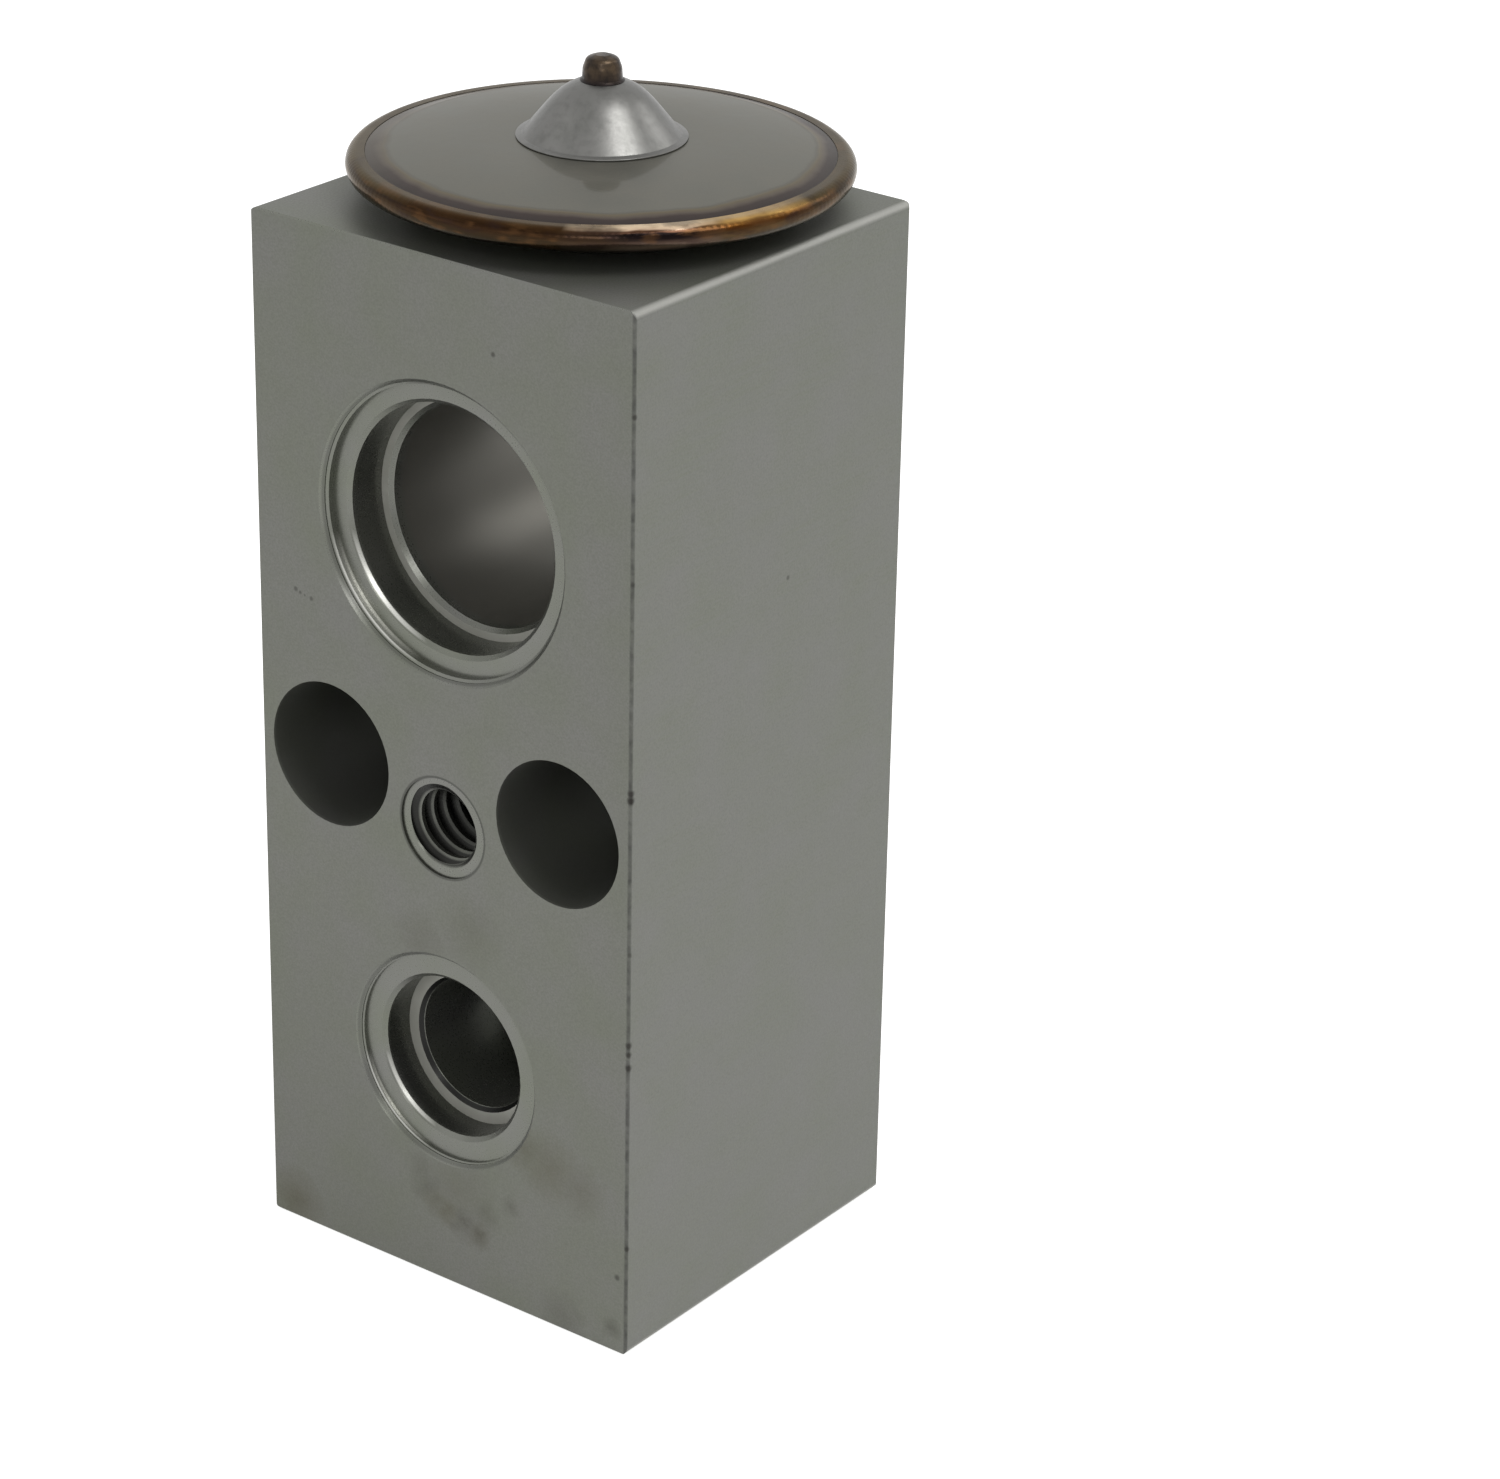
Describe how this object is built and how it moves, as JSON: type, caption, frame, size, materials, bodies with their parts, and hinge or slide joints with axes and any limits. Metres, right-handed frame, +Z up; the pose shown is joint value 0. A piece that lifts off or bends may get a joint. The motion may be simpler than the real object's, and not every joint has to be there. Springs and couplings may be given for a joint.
{
  "type": "block-type thermostatic expansion valve",
  "caption": "Aluminium block expansion valve with stepped O-ring ports, through bolt holes, a sealed diaphragm head, a ball valve on a spring and an adjusting screw.",
  "frame": {"origin": "on the stem axis at the block's bottom face", "axes": "+Z up along the stem, towards the head; -Y out of the pipe-side face that the picture shows; +X to the right seen from there"},
  "size_m": [0.034, 0.034, 0.0858],
  "materials": {
    "block_aluminium": "satin, cut from extruded bar, machined ports",
    "pressed_steel": "satin, pressed",
    "tinted_weld": "heat-tinted copper, gold and violet",
    "plug_steel": "semi-bright, turned",
    "dark_bronze": "dark, semi-gloss",
    "bright_steel": "ground",
    "spring_steel": "drawn",
    "turned_brass": "turned",
    "black_rubber": "matt"
  },
  "bodies": {
    "body": {"valve_block": "block_aluminium", "neck_collar": "turned_brass", "lower_housing": "pressed_steel", "upper_housing": "pressed_steel", "rim_weld": "tinted_weld", "diaphragm": "spring_steel", "charge_plug": "plug_steel", "seal_ball": "dark_bronze", "head_gasket": "black_rubber", "rod_seal": "black_rubber", "seal_retainer": "spring_steel", "superheat_spring": "spring_steel"},
    "stem": {"thrust_pad": "turned_brass", "sensing_rod": "bright_steel", "push_pin": "bright_steel", "valve_ball": "bright_steel", "ball_carrier": "bright_steel", "damping_ring": "spring_steel"},
    "screw_ring": {"screw_seal": "black_rubber"},
    "screw": {"adjusting_screw": "turned_brass"}
  },
  "joints": [
    {"name": "valve_lift", "type": "slide", "parent": "body", "child": "stem", "axis": [0, 0, -1], "range_m": [0, 0.0008], "stiffness_N_per_m": 1000, "springref_m": -0.002, "deforming": ["superheat_spring", "diaphragm"]},
    {"name": "screw_travel", "type": "slide", "parent": "body", "child": "screw_ring", "axis": [0, 0, 1], "range_m": [-0.00101, 0.00101], "deforming": ["superheat_spring"]},
    {"name": "screw_turn", "type": "hinge", "parent": "screw_ring", "child": "screw", "pos_m": [0, 0, 0.005], "axis": [0, 0, 1], "range_deg": [-360, 360]}
  ],
  "couplings": [
    {"joint": "screw_travel", "follows": "screw_turn", "m_per_rad": 0.00015915}
  ]
}
